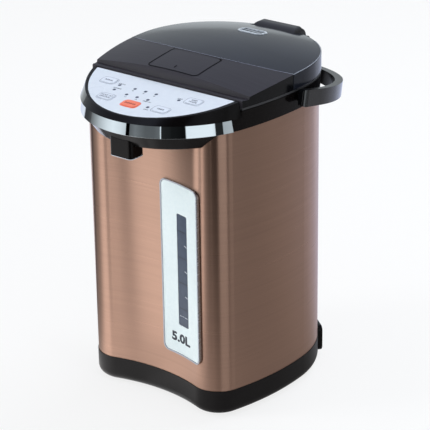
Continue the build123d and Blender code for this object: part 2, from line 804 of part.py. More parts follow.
def crown_height(x, y):
    across = crown_radius_x - sqrt(crown_radius_x ** 2 - x ** 2)
    along = crown_radius_y if y > crown_y else crown_front_radius
    return lid_top - along + sqrt((along - across) ** 2 - (y - crown_y) ** 2)


def vent_plane(sink=0.0):
    lean = degrees(atan2(vent_y - crown_y, crown_radius_y))
    face = Plane(origin=(0, vent_y, crown_height(0, vent_y)), x_dir=(1, 0, 0),
                 z_dir=(0, sin(radians(lean)), cos(radians(lean))))
    return face.offset(-sink)


def steam_vent_grille():
    wide, deep = vent_size
    grille = extrude(vent_plane(3.2) * RectangleRounded(wide, deep, 6.9), 3.2 + vent_proud)
    grille = fillet(grille.faces().sort_by(Axis.Z)[-1].edges(), 0.8)
    grille -= extrude(vent_plane(0.3) * RectangleRounded(wide - 4.4, deep - 4.4, 4.6), 3)
    pitch = (wide - 6) / vent_slots
    for index in range(vent_slots):
        x = (index - (vent_slots - 1) / 2) * pitch
        grille -= extrude(vent_plane(6) * Pos(x, 0) * RectangleRounded(2.6, deep - 7, 1.2), 10)
    return grille


def steam_tube():
    top = crown_height(0, vent_y) - 4.8
    duct = tube(0, vent_y, 8, 6.6, lid_plate_top, top)
    return duct + tube(0, vent_y, 11, 6.6, lid_plate_top, lid_plate_top + 1.4)


def lid_plate():
    plate = prism(head_outline(-0.4), lid_bottom, lid_plate_top)
    plate &= block((-130, 130), (lid_front_y, 130), (0, 400))
    plate -= hinge_notch()
    plate += ear_solid() & block((-130, 130), (80, 130), (lid_plate_top - 0.1, 400))
    plate -= rod_x(hinge_y, hinge_z, hinge_pin_radius + running_gap, -130, 130)
    plate -= post(0, vent_y, 6.6, 300, 400)
    for x in (-9.3, 7.3):
        plate += block((x, x + 2), (-74, -54), (lid_plate_top, bolt_high + 1))
    for x in (-27.5, 25):
        plate += block((x, x + 2.5), (lever_pin_y - 3, lever_pin_y + 1.6), (lid_plate_top, lever_pin_z - 0.9))
    plate -= rod_x(lever_pin_y, lever_pin_z, lever_pin_radius + running_gap, -60, 60)
    return plate


def inner_lid():
    low = deck_top + 5
    dish = turned([(0, low), (77, low), (77, lid_bottom), (74, lid_bottom), (74, low + 1.2), (0, low + 1.2)],
                  0, vessel_y)
    for turn in range(6):
        x, y = polar((0, vent_y), 5, 60 * turn)
        dish -= post(x, y, 1.2, 300, low + 2)
    return dish


def lid_gasket():
    low = deck_top + vessel_wall + 1.5
    return turned([(77.1, low + 3), (77.1, low + 7), (80, low + 7), (83, low + 4), (89, low + 0.6), (88, low),
                   (81, low + 2)], 0, vessel_y)


lever_pin_y = lever_front_y + lever_length - 3.4
lever_pin_z = crown_height(0, lever_pin_y) - 2.9
lever_sweep = 4.9              # radius about the pin that the lever's back edge keeps inside
tongue_y, tongue_z = -50.0, 337.0
tongue_radius = 1.2


def latch_lever():
    plate = (crown(0) - crown(lever_thickness)) & lever_room(0) & block((-130, 130), (-130, 130), (330, 400))
    for x in (-23, 18):
        knuckle = rod_x(lever_pin_y, lever_pin_z, 2.6, x, x + 5)
        knuckle += block((x, x + 5), (lever_pin_y - 6, lever_pin_y), (lever_pin_z - 0.4, lever_pin_z + 2))
        plate += knuckle & crown(0)
    tongue_top = crown_height(0, tongue_y) - 1
    for x in (-5.2, 3.2):
        plate += block((x, x + 2), (tongue_y - tongue_radius, tongue_y + tongue_radius), (tongue_z, tongue_top))
    plate += rod_x(tongue_y, tongue_z, tongue_radius, -5.2, 5.2)
    return plate - rod_x(lever_pin_y, lever_pin_z, lever_pin_radius, -60, 60)


def lever_pin():
    return rod_x(lever_pin_y, lever_pin_z, lever_pin_radius, -28, 28)


bolt_reach = 2.2
bolt_stroke = 3.4


def bolt_channel(grow):
    return block((-7 - grow, 7 + grow), (panel_back_y - 4, -50), (bolt_low - grow, bolt_high + grow))


def latch_bolt():
    front = panel_back_y - bolt_reach
    bolt = block((-7, 7), (front, -40), (bolt_low, bolt_high))
    bevel = side_profile([(front - 1, bolt_low - 1), (panel_back_y + 1, bolt_low - 1), (front - 1, bolt_low + 2)],
                         -8, 8)
    ramp = side_profile([(-44.5, bolt_high - 0.4), (-40, bolt_high - 0.4), (-40, 344.3), (-54.5, 344.3)],
                        -2.5, 2.5)
    return bolt - bevel + ramp


def hinge_block():
    rim = lid_bottom - parting_gap
    top = hinge_z + hinge_block_radius
    points = [(95.5, rim), (hinge_y - hinge_block_radius, hinge_z), (hinge_y, hinge_z + 2), (hinge_y, top),
              (112, top), (115.5, hinge_z - 4), (114, rim + 1), (110, rim)]
    shape = side_profile(points, -hinge_block_half, hinge_block_half)
    shape += rod_x(hinge_y, hinge_z, hinge_block_radius, -hinge_block_half, hinge_block_half)
    shape -= block((-50, 50), (80, 130), (300, rim))
    front = RectangleRounded(2 * hinge_block_half, 2 * (top - rim), hinge_block_round)
    shape &= extrude(Plane(origin=(0, 140, rim), x_dir=(1, 0, 0), z_dir=(0, -1, 0)) * front, 80)
    return shape - rod_x(hinge_y, hinge_z, hinge_pin_radius + running_gap, -60, 60)


def hinge_pin():
    reach = hinge_block_half + notch_gap + hinge_ear_width + 1
    return rod_x(hinge_y, hinge_z, hinge_pin_radius, -reach, reach)


# ---------------------------------------------------------------- bail handle
handle_frame = Plane(origin=(0, handle_y, handle_z), x_dir=(1, 0, 0),
                     z_dir=(0, sin(radians(handle_slope)), cos(radians(handle_slope))))


def bail_outline(outer, centre, start, corner):
    legs = Rectangle(2 * outer, centre - start)
    legs = fillet(legs.vertices().group_by(Axis.Y)[0], corner)
    return Pos(0, (centre + start) / 2) * legs + Pos(0, centre) * Circle(outer)


bail_inner = handle_outer_radius - handle_strap
bail_end_inner = head_back_radius + 2 * joint_gap
journal_end = bail_end_inner + pivot_depth


def bail_handle():
    outer = bail_outline(handle_outer_radius, handle_reach - handle_outer_radius, -handle_end, handle_end_round)
    inner = bail_outline(bail_inner, handle_reach - handle_grip - bail_inner, handle_end + 1, 2)
    inner += Rectangle(2 * bail_end_inner, 3 * handle_end)
    strap = extrude(handle_frame * (outer - inner), handle_root_height, both=True)
    root, grip = handle_root_height / 2, handle_grip_height / 2
    middle = handle_reach * 0.55
    side = make_face(Polyline((-handle_end, root), (middle, grip + 0.6), (handle_reach + 1, grip),
                              (handle_reach + 1, -grip), (middle, -grip - 0.6), (-handle_end, -root), close=True))
    side = fillet(side.vertices().group_by(Axis.X)[0], 3)
    side_plane = Plane(origin=(-130, handle_y, handle_z), x_dir=handle_frame.y_dir, z_dir=(1, 0, 0))
    bail = strap & extrude(side_plane * side, 260)
    reach = journal_end + joint_gap
    return bail - rod_x(handle_y, handle_z, pivot_radius + running_gap, -reach, reach)


def handle_pivot():
    journal = rod_x(handle_y, handle_z, pivot_radius, head_back_radius - 4, journal_end)
    journal -= leaning(head_outline, -collar_lean, shell_top, 0, lid_bottom - parting_gap)
    return journal


# ---------------------------------------------------------------- electrics in the base
board_level = 18.0


def board_posts():
    return [(x, y) for x in (-70, -20) for y in (-40, 0)]


def power_board():
    board = block((-76, -14), (-46, 6), (board_level, board_level + 1.6))
    for x, y in board_posts():
        board -= post(x, y, 1.5, 0, 40)
    return board


def power_board_parts():
    top = board_level + 1.6
    relay = block((-60, -42), (-40, -26), (top, top + 14))
    coil = block((-62, -40), (-18, 2), (top, top + 20))
    cans = [post(-30, y, 5, top, top + 16) for y in (-30, -16)]
    sink = block((-34, -22), (-6, -2), (top, top + 15))
    return group([relay, coil, sink] + cans)


def power_inlet():
    housing = inlet_block(0, -14, inlet_proud)
    rim = housing.faces().sort_by(Axis(inlet_frame.origin, inlet_frame.z_dir))[-1]
    housing = fillet(rim.edges(), 1.5)
    recess = extrude(inlet_frame.offset(-8) * RectangleRounded(30, 16, 5), 30)
    return housing - recess - inlet_pins()


def inlet_pins():
    return group(extrude(inlet_frame.offset(-14 - 4) * Pos(x, 0) * Circle(1.6), 4 + 13) for x in (-9, 9))


pieces = {
    "base_shell": base_shell, "bottom_cover": bottom_cover, "rubber_feet": rubber_feet,
    "base_screws": base_screws, "outer_shell": outer_shell, "gauge_frame": gauge_frame,
    "gauge_plate": gauge_plate, "gauge_lens": gauge_lens, "gauge_tube": gauge_tube,
    "gauge_backing": gauge_backing, "inner_vessel": inner_vessel, "vessel_seal": vessel_seal,
    "band_heater": band_heater, "heater_screws": heater_screws, "base_heater": base_heater,
    "thermostat": thermostat, "pump_housing": pump_housing, "pump_impeller": pump_impeller,
    "pump_motor": pump_motor, "inlet_hose": inlet_hose, "outlet_hose": outlet_hose,
    "spout_hose": spout_hose, "spout_nozzle": spout_nozzle, "under_cover": under_cover,
    "spout_cover": spout_cover, "head_collar": head_collar, "chrome_band": chrome_band,
    "head_bezel": head_bezel, "control_panel": control_panel, "control_board": control_board,
    "tact_switches": tact_switches, "indicator_lamps": indicator_lamps, "board_screws": board_screws,
    "lid_front_cover": lid_front_cover, "lid_dome": lid_dome, "steam_vent_grille": steam_vent_grille,
    "steam_tube": steam_tube, "lid_plate": lid_plate, "inner_lid": inner_lid, "lid_gasket": lid_gasket,
    "latch_lever": latch_lever, "lever_pin": lever_pin, "latch_bolt": latch_bolt,
    "hinge_block": hinge_block, "hinge_pin": hinge_pin, "bail_handle": bail_handle,
    "power_board": power_board, "power_board_parts": power_board_parts,
    "power_inlet": power_inlet, "inlet_pins": inlet_pins,
}
solids = {name: make() for name, make in pieces.items()}
for name, face, flange in zip([*key_spots, "start_key"], key_faces(0), key_faces(1.5)):
    solids[name] = key_cap(face, flange)
solids["right_handle_pivot"] = handle_pivot()
solids["left_handle_pivot"] = mirror(handle_pivot(), about=Plane.YZ)

middle_y = (nose_y + solids["bail_handle"].bounding_box().max.Y) / 2
for name, solid in solids.items():
    save(name, solid)
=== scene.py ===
import bpy, json, math
from mathutils import Vector, Matrix, Color
from mathutils.bvhtree import BVHTree


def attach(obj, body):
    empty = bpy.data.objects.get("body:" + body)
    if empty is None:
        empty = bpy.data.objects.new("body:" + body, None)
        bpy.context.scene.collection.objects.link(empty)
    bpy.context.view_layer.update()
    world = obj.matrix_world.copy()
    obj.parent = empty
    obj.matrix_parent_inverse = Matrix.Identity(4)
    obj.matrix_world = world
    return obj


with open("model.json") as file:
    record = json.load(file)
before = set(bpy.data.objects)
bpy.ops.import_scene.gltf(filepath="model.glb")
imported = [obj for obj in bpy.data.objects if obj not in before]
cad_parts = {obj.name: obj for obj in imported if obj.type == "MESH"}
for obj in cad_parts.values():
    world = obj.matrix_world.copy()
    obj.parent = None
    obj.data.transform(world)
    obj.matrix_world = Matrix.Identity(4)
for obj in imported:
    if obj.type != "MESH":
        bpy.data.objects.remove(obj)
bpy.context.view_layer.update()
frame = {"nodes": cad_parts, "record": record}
nodes = frame["nodes"]
slotOf = {row["node"]: row["material_slot"] for row in frame["record"]["subparts"]}
bodyOf = {node: body for body, group in frame["record"]["behaviour"]["bodies"].items() for node in group}

# faces of the solid model that prints lie on, in metres and degrees
gaugeFace = {"centre": (0.0, -0.269243), "radius": 0.1805, "angle": 11.7, "plate": 0.0012, "lens": 0.0009}
panelFace = {"backY": -0.069663, "backZ": 0.336, "tilt": 9.1, "keyRise": 0.0007, "zero": -0.0809}


class Wire:  # a socket that sums can be written with
    def __init__(self, look, socket):
        self.look, self.socket = look, socket

    def sum(self, operation, a, b):
        return self.look.add("ShaderNodeMath", {"operation": operation}, {0: a, 1: b})

    def __add__(self, other):
        return self.sum("ADD", self, other)

    def __radd__(self, other):
        return self.sum("ADD", other, self)

    def __sub__(self, other):
        return self.sum("SUBTRACT", self, other)

    def __rsub__(self, other):
        return self.sum("SUBTRACT", other, self)

    def __mul__(self, other):
        return self.sum("MULTIPLY", self, other)

    def __rmul__(self, other):
        return self.sum("MULTIPLY", other, self)


class Look:  # one node tree: a new material's by default, or the world's
    def __init__(self, name, owner=None, **fixed):
        self.owner = owner or bpy.data.materials.new(name)
        self.owner.use_nodes = True
        self.tree = self.owner.node_tree
        self.shader = self.tree.nodes.get("Principled BSDF")
        for socket, value in fixed.items():
            self.set(socket.replace("_", " "), value)

    def add(self, kind, settings=None, inputs=None, out=0):
        node = self.tree.nodes.new(kind)
        for key, value in (settings or {}).items():
            setattr(node, key, value)
        for key, value in (inputs or {}).items():
            self.feed(node.inputs[key], value)
        return Wire(self, node.outputs[out])

    def feed(self, socket, value):
        if isinstance(value, Wire):
            self.tree.links.new(value.socket, socket)
        elif isinstance(value, tuple) and len(socket.default_value) == 4:
            socket.default_value = (*value[:3], 1.0)
        else:
            socket.default_value = value

    def set(self, socket, value):
        self.feed(self.shader.inputs[socket], value)

    def noise(self, scale, detail, rough=0.5):  # scale: grains per metre along x, y, z
        place = self.add("ShaderNodeTexCoord", out=3)
        place = self.add("ShaderNodeMapping", None, {"Vector": place, "Scale": scale})
        inputs = {"Vector": place, "Scale": 1.0, "Detail": detail, "Roughness": rough}
        return self.add("ShaderNodeTexNoise", None, inputs)

    def facing(self, axis):  # how much a surface faces along the object's x (0), y (1) or z (2)
        normal = self.add("ShaderNodeTexCoord", out=1)
        return self.add("ShaderNodeSeparateXYZ", None, {0: normal}, out=axis)

    def mix(self, factor, low, high):
        return self.add("ShaderNodeMix", {"data_type": "RGBA"}, {0: factor, 6: low, 7: high}, out=2)

    def ramp(self, value, low, high):  # 0 at low, 1 at high
        return self.add("ShaderNodeMapRange", None, {"Value": value, "From Min": low, "From Max": high})

    def finish(self, height=None, strength=0.1, depth=0.0002, edge=0.0):  # surface relief and softened edges
        normal = self.add("ShaderNodeBevel", {"samples": 4}, {"Radius": edge}) if edge else None
        if height is not None:
            inputs = {"Height": height, "Strength": strength, "Distance": depth}
            if normal:
                inputs["Normal"] = normal
            normal = self.add("ShaderNodeBump", None, inputs)
        if normal:
            self.set("Normal", normal)
        return self.owner

    def surface(self, shade):  # what the tree's output shows in place of its own shader
        end = self.tree.nodes.get("Material Output") or self.tree.nodes["World Output"]
        self.feed(end.inputs["Surface"], shade)
        return self.owner


def tone(r, g, b):  # a screen colour as the shader counts it
    return tuple(Color((r / 255, g / 255, b / 255)).from_srgb_to_scene_linear())


copper = {"bright": (0.645, 0.398, 0.294), "deep": (0.59, 0.362, 0.268), "roughness": (0.27, 0.32),
          "brushing": 1.0, "lacquer": 0.14, "lacquerRoughness": 0.28,
          "across": 7.0, "down": 1900.0}  # brushed lines per metre round the body and up it


def copperSteel():
    look = Look("CopperBrushedSteel", Metallic=1.0, Anisotropic=copper["brushing"], Anisotropic_Rotation=0.25,
                Coat_Weight=copper["lacquer"], Coat_Roughness=copper["lacquerRoughness"])
    across, down = copper["across"], copper["down"]
    fine = look.noise((across, across, down), 2.0, 0.6)
    broad = look.noise((across / 2, across / 2, down / 5), 1.0, 0.5)
    line = look.ramp(fine * 0.65 + broad * 0.35, 0.3, 0.7)
    look.set("Base Color", look.mix(line, copper["deep"], copper["bright"]))
    low, high = copper["roughness"]
    look.set("Roughness", high - (high - low) * line)
    return look.finish(fine, 0.05, 0.0001)


def moulded(name, colour, speck, roughness, grain=0.0, edge=0.0, grainSize=900.0, paintedSheen=None, **fixed):
    look = Look(name, **fixed)
    if paintedSheen:  # painted sheen: the clear top coat is made stronger on one side of the object than on the other, as if the light fell on that side
        change = look.ramp(look.facing(0), paintedSheen["from"], paintedSheen["to"])
        look.set("Coat Weight", paintedSheen["left"] + (paintedSheen["right"] - paintedSheen["left"]) * change)
    fine = look.noise((grainSize,) * 3, 3.0, 0.6)
    cloud = look.noise((14.0, 14.0, 14.0), 2.0)
    look.set("Base Color", look.mix(look.ramp(fine * 0.6 + cloud * 0.4, 0.35, 0.7), colour, speck))
    low, high = roughness
    look.set("Roughness", low + (high - low) * look.ramp(cloud, 0.3, 0.7))
    return look.finish(fine if grain else None, grain, 0.0002, edge)


hairline = {"dark": (0.014, 0.012, 0.015), "light": (0.040, 0.035, 0.042), "shine": 0.34,
            "along": (1.5, 0.8), "pitch": (900.0, 380.0),  # fine and broad lines per metre, along and across
            # brow is painted light, for faces turned to the front; end is painted shade, near black, for
            # faces turned to the right
            "brow": (0.036, 0.032, 0.037), "end": (0.003, 0.0032, 0.004),
            "roughness": (0.32, 0.46), "shadedEndPolish": 0.2, "edge": 0.0004}


def hairlinePlastic():
    look = Look("DarkHairline", Specular_IOR_Level=hairline["shine"])
    lines = zip(hairline["along"], hairline["pitch"])
    fine, broad = (look.noise((along, pitch, 0.0), 1.0) for along, pitch in lines)
    grain = look.mix(look.ramp(fine * 0.8 + broad * 0.2, 0.3, 0.7), hairline["dark"], hairline["light"])
    # painted light: faces turned to the front get the lighter brow colour, in place of the light that falls
    # on them
    brow = look.mix(look.ramp(0.0 - look.facing(1), 0.25, 0.6), grain, hairline["brow"])
    # painted shade: faces turned to the object's right are made near black and glossier, in place of the
    # shade on that side
    end = look.ramp(look.facing(0), 0.3, 0.6)
    look.set("Base Color", look.mix(end, brow, hairline["end"]))
    low, high = hairline["roughness"]
    look.set("Roughness", low + (high - low) * look.ramp(fine, 0.3, 0.7) - hairline["shadedEndPolish"] * end)
    return look.finish(fine, 0.08, 0.0002, hairline["edge"])


domeGloss = {"middle": (0.013, 0.016, 0.025), "rim": (0.008, 0.009, 0.013), "shine": 0.34,
             "roughness": (0.10, 0.15), "edge": 0.0011}


def domePlastic():
    look = Look("DomeGloss", Specular_IOR_Level=domeGloss["shine"])
    cloud = look.ramp(look.noise((9.0, 9.0, 9.0), 2.0), 0.3, 0.7)
    look.set("Base Color", look.mix(cloud, domeGloss["rim"], domeGloss["middle"]))
    low, high = domeGloss["roughness"]
    look.set("Roughness", low + (high - low) * cloud)
    return look.finish(look.noise((60.0, 60.0, 60.0), 2.0), 0.02, 0.0003, domeGloss["edge"])


chrome = {"dull": (0.74, 0.80, 0.84), "bright": (0.84, 0.89, 0.92), "roughness": (0.02, 0.04), "edge": 0.0004}


def chromePlate():
    look = Look("ChromePlate", Metallic=1.0)
    cloud = look.noise((30.0, 30.0, 200.0), 2.0)
    look.set("Base Color", look.mix(cloud, chrome["dull"], chrome["bright"]))
    low, high = chrome["roughness"]
    look.set("Roughness", low + (high - low) * cloud)
    return look.finish(edge=chrome["edge"])


def steelSheet(name, colour, low=0.25, high=0.42, edge=0.0):
    look = Look(name, Metallic=1.0)
    streak = look.noise((40.0, 40.0, 260.0), 2.0, 0.5)
    darker = tuple(c * 0.88 for c in colour)
    look.set("Base Color", look.mix(look.ramp(streak, 0.3, 0.7), darker, colour))
    look.set("Roughness", low + (high - low) * streak)
    return look.finish(streak, 0.04, 0.0001, edge)


softEdge = 0.0006
trims = {  # black mouldings with a painted sheen: the top coat is stronger on one side, where the light is taken to fall
    "HeadBlack": {"body": (0.0024, 0.0018, 0.0018), "speck": (0.0040, 0.0030, 0.0030),
                  "roughness": (0.14, 0.20), "shine": 0.08, "grain": 0.0,
                  "coatRoughness": 0.10, "coatBend": 1.5,
                  "paintedSheen": {"left": 1.0, "right": 0.22, "from": -0.3, "to": 0.0}},
    "BaseCharcoal": {"body": (0.0040, 0.0030, 0.0030), "speck": (0.0070, 0.0054, 0.0054),
                     "roughness": (0.32, 0.40), "shine": 0.1, "grain": 0.10,
                     "coatRoughness": 0.3, "coatBend": 1.5,
                     "paintedSheen": {"left": 0.42, "right": 0.3, "from": 0.35, "to": 0.75}},
    "BailBlack": {"body": (0.0036, 0.0036, 0.0042), "speck": (0.0060, 0.0060, 0.0068),
                  "roughness": (0.12, 0.18), "shine": 0.03, "grain": 0.0,
                  "coatRoughness": 0.08, "coatBend": 1.75,
                  "paintedSheen": {"left": 0.0, "right": 1.0, "from": 0.05, "to": 0.4}},
}


def blackTrim(name):
    trim = trims[name]
    return moulded(name, trim["body"], trim["speck"], trim["roughness"], trim["grain"], softEdge,
                   paintedSheen=trim["paintedSheen"], Specular_IOR_Level=trim["shine"],
                   Coat_Roughness=trim["coatRoughness"], Coat_IOR=trim["coatBend"])


finishes = {  # by the solid model's material slots
    "copper_steel": copperSteel(),
    "base_plastic": blackTrim("BaseCharcoal"),
    "foot_rubber": moulded("FootRubber", (0.014, 0.014, 0.014), (0.022, 0.022, 0.022), (0.7, 0.85), 0.2),
    "steel_parts": steelSheet("PlainSteel", (0.62, 0.62, 0.61)),
    "gauge_silver": steelSheet("GaugeFrame", (0.66, 0.66, 0.67), 0.22, 0.32, 0.0004),
    "gauge_pale": moulded("GaugePale", tone(243, 253, 251), tone(234, 246, 246), (0.16, 0.24),
                          grainSize=300.0),
    "gauge_dark_clear": moulded("SmokedStrip", tone(62, 74, 92), tone(72, 84, 102), (0.10, 0.18),
                                grainSize=120.0),
    "clear_tube": moulded("ClearTube", (0.72, 0.78, 0.81), (0.66, 0.73, 0.77), (0.1, 0.2)),
    "inner_plastic": moulded("InnerPlastic", (0.03, 0.03, 0.032), (0.042, 0.042, 0.045), (0.4, 0.55), 0.08),
    "silicone": moulded("Silicone", (0.62, 0.62, 0.59), (0.70, 0.70, 0.67), (0.45, 0.6), 0.05,
                        Subsurface_Weight=0.15),
    "head_black": blackTrim("HeadBlack"),
    "chrome": chromePlate(),
    "panel_pale": moulded("PanelPale", tone(220, 226, 236), tone(226, 232, 240), (0.26, 0.34),
                          grainSize=200.0),
    "key_grey": moulded("KeyPale", tone(224, 230, 241), tone(229, 235, 245), (0.26, 0.34), 0.02, 0.0003),
    "key_orange": moulded("KeyOrange", tone(248, 122, 92), tone(252, 138, 108), (0.28, 0.36), 0.02, 0.0004),
    "board_green": moulded("BoardGreen", (0.01, 0.09, 0.03), (0.014, 0.11, 0.04), (0.35, 0.5), 0.04),
    "lamp": moulded("LampDark", tone(72, 80, 106), tone(92, 100, 126), (0.15, 0.25)),
    "lid_brushed": hairlinePlastic(),
    "lid_gloss": domePlastic(),
    "vent_silver": moulded("VentSilver", tone(196, 202, 208), tone(208, 214, 220), (0.22, 0.3), edge=0.0005,
                           Metallic=0.35),
    "inner_lid_steel": steelSheet("InnerLidSteel", (0.66, 0.66, 0.65)),
}
ownFinishes = {  # nodes that look different from the rest of their slot
    "bail_handle": blackTrim("BailBlack"),
    "hinge_block": moulded("HingeBlack", (0.014, 0.013, 0.014), (0.022, 0.020, 0.021), (0.22, 0.30),
                           edge=softEdge),
}
# inks for print, and pieces of painted light: highlights along edges, painted shade in the vent slots and
# round the gauge plate
inksAndPaintedLight = {
    "dark": moulded("InkDark", tone(34, 40, 52), tone(44, 50, 62), (0.4, 0.5)),
    "grey": moulded("InkGrey", tone(70, 76, 92), tone(80, 86, 102), (0.4, 0.5)),
    "outline": moulded("InkOutline", tone(138, 144, 162), tone(148, 154, 172), (0.4, 0.5)),
    "pale": moulded("InkPale", tone(214, 220, 228), tone(204, 210, 218), (0.4, 0.5)),
    "deep": moulded("InkDeep", tone(26, 32, 44), tone(34, 40, 52), (0.3, 0.4), Specular_IOR_Level=0.2),
    "brown": moulded("InkBrown", tone(110, 40, 34), tone(122, 50, 42), (0.4, 0.5)),
    "rimShade": moulded("GaugeRimShade", tone(178, 180, 188), tone(190, 192, 200), (0.25, 0.35), Metallic=0.2),
    "seam": moulded("SeamDark", (0.0016, 0.0014, 0.0016), (0.003, 0.0026, 0.003), (0.4, 0.5),
                    Specular_IOR_Level=0.1),
    "glint": moulded("EdgeGlint", (0.16, 0.17, 0.22), (0.19, 0.20, 0.25), (0.3, 0.4)),
    "shine": moulded("RimShine", tone(128, 132, 142), tone(140, 144, 154), (0.3, 0.4)),
    "slotShade": moulded("VentSlotShade", tone(30, 34, 44), tone(38, 42, 52), (0.3, 0.4), Specular_IOR_Level=0.2),
    "lip": moulded("SpoutEdgeHighlight", tone(196, 198, 204), tone(210, 212, 218), (0.2, 0.3)),
}
for name, node in nodes.items():
    node.data.materials.clear()
    node.data.materials.append(ownFinishes.get(name) or finishes[slotOf[name]])
print("materials:", len(finishes) + len(ownFinishes), "finishes on", len(nodes), "nodes")

thick = {"ink": 0.00006, "line": 0.00008, "plate": 0.0001}  # half of each flat shape's thickness


# flat shapes as (points, faces), in metres about their own middle
def words(text, height, bold=0.0, width=None):
    curve = bpy.data.curves.new("words", "FONT")
    curve.body, curve.size, curve.offset, curve.extrude, curve.resolution_u = text, 1.0, bold, 0.02, 3
    holder = bpy.data.objects.new("words", curve)
    mesh = bpy.data.meshes.new_from_object(holder)
    xs, ys, zs = zip(*(v.co for v in mesh.vertices))
    middleX, middleY = (min(xs) + max(xs)) / 2, (min(ys) + max(ys)) / 2
    tall = height / (max(ys) - min(ys))
    wide = width / (max(xs) - min(xs)) if width else tall
    points = [((x - middleX) * wide, (y - middleY) * tall, thick["ink"] if z > 0 else -thick["ink"])
              for x, y, z in zip(xs, ys, zs)]
    faces = [tuple(f.vertices) for f in mesh.polygons]
    bpy.data.objects.remove(holder)
    bpy.data.meshes.remove(mesh)
    return points, faces


def ribbon(stations, half):  # a flat band through rows of x, y and the half width across them
    points = [(x + side * acrossX, y + side * acrossY, z) for x, y, acrossX, acrossY in stations
              for side, z in ((-1, -half), (1, -half), (1, half), (-1, half))]
    last = 4 * (len(stations) - 1)
    faces = [(i + j, i + (j + 1) % 4, i + 4 + (j + 1) % 4, i + 4 + j)
             for i in range(0, last, 4) for j in range(4)]
    return points, faces + [(3, 2, 1, 0), (last, last + 1, last + 2, last + 3)]


roundEnd = ((0.0, 0.35), (0.3, 0.8), (1.0, 1.0))  # how far into a stroke's end, and its width there


def stroke(start, end, width, steps=6):  # a straight line with rounded ends
    length = math.dist(start, end)
    alongX, alongY = (end[0] - start[0]) / length, (end[1] - start[1]) / length
    bend = min(width, length) / 2
    head = [(bend * far, width / 2 * wide) for far, wide in roundEnd]
    middle = [(bend + (length - 2 * bend) * i / steps, width / 2) for i in range(1, steps)]
    tail = [(length - s, half) for s, half in reversed(head)]
    stations = [(start[0] + alongX * s, start[1] + alongY * s, -alongY * half, alongX * half)
                for s, half in head + middle + tail]
    return ribbon(stations, thick["ink"])


def trail(path, width):  # a line along a path of points
    stations = []
    for i, (x, y) in enumerate(path):
        before, after = path[max(i - 1, 0)], path[min(i + 1, len(path) - 1)]
        half = width / 2 * (0.5 if i in (0, len(path) - 1) else 1.0) / math.dist(before, after)
        stations.append((x, y, (before[1] - after[1]) * half, (after[0] - before[0]) * half))
    return ribbon(stations, thick["line"])


def roundCorners(width, height, corner, step):  # x, y of each corner's middle, and the direction out from it
    rows = []
    for turn, (cx, cy) in enumerate(((1, 1), (-1, 1), (-1, -1), (1, -1))):
        for extra in range(0, 91, step):
            a = math.radians(90 * turn + extra)
            rows.append((cx * (width / 2 - corner), cy * (height / 2 - corner), math.cos(a), math.sin(a)))
    return rows


def frameLine(width, height, corner, line, half=thick["ink"]):  # a rounded rectangle's outline
    rows = roundCorners(width, height, corner, 15)
    inner = corner - line
    points = [(x + radius * c, y + radius * s, z) for x, y, c, s in rows
              for radius, z in ((corner, -half), (corner, half), (inner, half), (inner, -half))]
    n = len(rows)
    faces = [(4 * i + j, 4 * i + (j + 1) % 4, 4 * ((i + 1) % n) + (j + 1) % 4, 4 * ((i + 1) % n) + j)
             for i in range(n) for j in range(4)]
    return points, faces


def roundedPlate(width, height, corner, half=thick["plate"]):
    outline = [(x + corner * c, y + corner * s) for x, y, c, s in roundCorners(width, height, corner, 18)]
    points = [(x, y, z) for z in (-half, half) for x, y in outline]
    n = len(outline)
    sides = [(i, (i + 1) % n, n + (i + 1) % n, n + i) for i in range(n)]
    return points, [tuple(reversed(range(n))), tuple(range(n, 2 * n))] + sides


def stepped(start, end, count):  # points from start to end
    return [tuple(a + (b - a) * i / count for a, b in zip(start, end)) for i in range(count + 1)]


def shifted(shape, dx, dy):
    return [(x + dx, y + dy, z) for x, y, z in shape[0]], shape[1]


def gaugePoint(lift):  # x along the wall to the right of the gauge's middle, y up
    def place(x, y, z):
        a = math.radians(gaugeFace["angle"]) + x / gaugeFace["radius"]
        r = gaugeFace["radius"] - lift - z
        return gaugeFace["centre"][0] + r * math.sin(a), gaugeFace["centre"][1] + r * math.cos(a), y
    return place


def panelPoint(lift):  # x to the right, y up the slope
    tilt = math.radians(panelFace["tilt"])

    def place(x, y, z):
        up, out = y - panelFace["zero"], lift + z
        return (x, panelFace["backY"] + up * math.cos(tilt) - out * math.sin(tilt),
                panelFace["backZ"] + up * math.sin(tilt) + out * math.cos(tilt))
    return place


def flatPiece(name, shapes, place, body, ink):  # one piece from many flat shapes
    points, faces = [], []
    for shape in shapes:
        first = len(points)
        points += [place(*p) for p in shape[0]]
        faces += [tuple(first + i for i in f) for f in shape[1]]
    mesh = bpy.data.meshes.new(name)
    mesh.from_pydata(points, [], faces)
    mesh.validate()
    mesh.materials.append(ink)
    piece = bpy.data.objects.new(name, mesh)
    bpy.context.collection.objects.link(piece)
    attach(piece, body)


marks = {"capacity": "5.0L", "textHeight": 0.0106, "textWidth": 0.0290, "textAt": (-0.0026, 0.0762),
         "bold": 0.045,
         "levels": (0.1952, 0.1667, 0.1391, 0.1106), "levelSpan": (-0.0056, 0.0094), "line": 0.0007,
         "ticks": (0.1807, 0.1529, 0.1249), "tickSpan": (0.0048, 0.0090), "tickDrop": 0.0012,
         "low": 0.1018, "dots": (-0.0040, -0.0018, 0.0004), "dotLength": 0.0011, "dotDrop": 0.0001,
         "dotWidth": 0.0009, "lowSpan": (0.0030, 0.0082), "lowDrop": 0.0003, "lowWidth": 0.0006}
capacity = words(marks["capacity"], marks["textHeight"], marks["bold"], marks["textWidth"])
flatPiece("capacityNumber", [shifted(capacity, *marks["textAt"])], gaugePoint(gaugeFace["plate"]), "root",
        inksAndPaintedLight["dark"])
left, right = marks["levelSpan"]
levelLines = [stroke((left, z), (right, z), marks["line"], 8) for z in marks["levels"]]
flatPiece("levelLines", levelLines, gaugePoint(gaugeFace["lens"]), "root", inksAndPaintedLight["deep"])
left, right = marks["tickSpan"]
